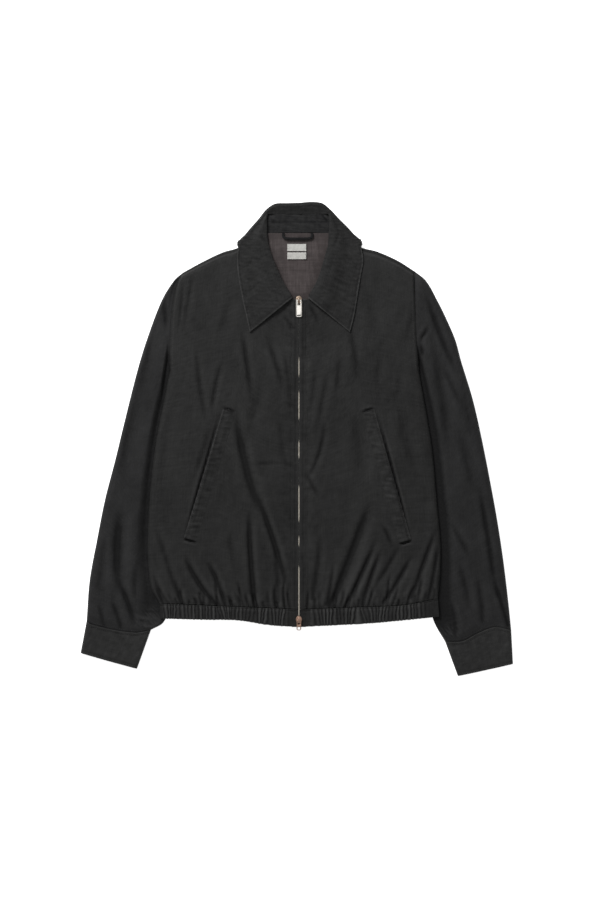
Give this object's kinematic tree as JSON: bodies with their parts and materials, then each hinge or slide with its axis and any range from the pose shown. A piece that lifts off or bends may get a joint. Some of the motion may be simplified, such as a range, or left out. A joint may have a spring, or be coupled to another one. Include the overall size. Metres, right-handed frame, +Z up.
{
  "type": "harrington jacket",
  "caption": "Waist-length zip-front jacket laid flat on its back, with a turned-down collar, slanted welt pockets, a gathered waistband and banded cuffs.",
  "frame": {"origin": "middle of the bounding box, on the surface that the jacket lies on", "axes": "+X towards the wearer's left, +Y towards the collar, +Z up from the surface, out of the fronts"},
  "size_m": [0.713, 0.782, 0.0128],
  "materials": {
    "shell": "washed black cotton twill, matt, paler along worn edges",
    "lining": "faded mauve-grey woven lining, matt",
    "label": "blank pale woven label",
    "tape": "black woven tape and cord",
    "nickel": "polished pale nickel, slightly warm",
    "copper": "dark copper, satin, worn bright at the edges"
  },
  "bodies": {
    "garment": {"back": "shell", "back_lining": "lining", "collar_leaf": "shell", "collar_stand": "shell", "cuff_left": "shell", "cuff_right": "shell", "front_left": "shell", "front_right": "shell", "hanger_loop": "tape", "hem_band_back": "shell", "hem_band_left": "shell", "hem_band_right": "shell", "label_lower": "label", "label_upper": "label", "pocket_welt_left": "shell", "pocket_welt_right": "shell", "sleeve_left": "shell", "sleeve_right": "shell", "zip_chain": "nickel", "zip_slider_bottom": "copper", "zip_slider_top": "nickel", "zip_tape_left": "tape", "zip_tape_right": "tape"},
    "pull_top": {"zip_pull_top": "nickel"},
    "pull_bottom": {"zip_pull_bottom": "copper"}
  },
  "joints": [
    {"name": "pull_top_swing", "type": "hinge", "parent": "garment", "child": "pull_top", "pos_m": [0.004, 0.2295, 0.0106], "axis": [-1, 0, 0], "range_deg": [0, 165]},
    {"name": "pull_bottom_swing", "type": "hinge", "parent": "garment", "child": "pull_bottom", "pos_m": [0.004, -0.2975, 0.0106], "axis": [-1, 0, 0], "range_deg": [0, 165]}
  ]
}
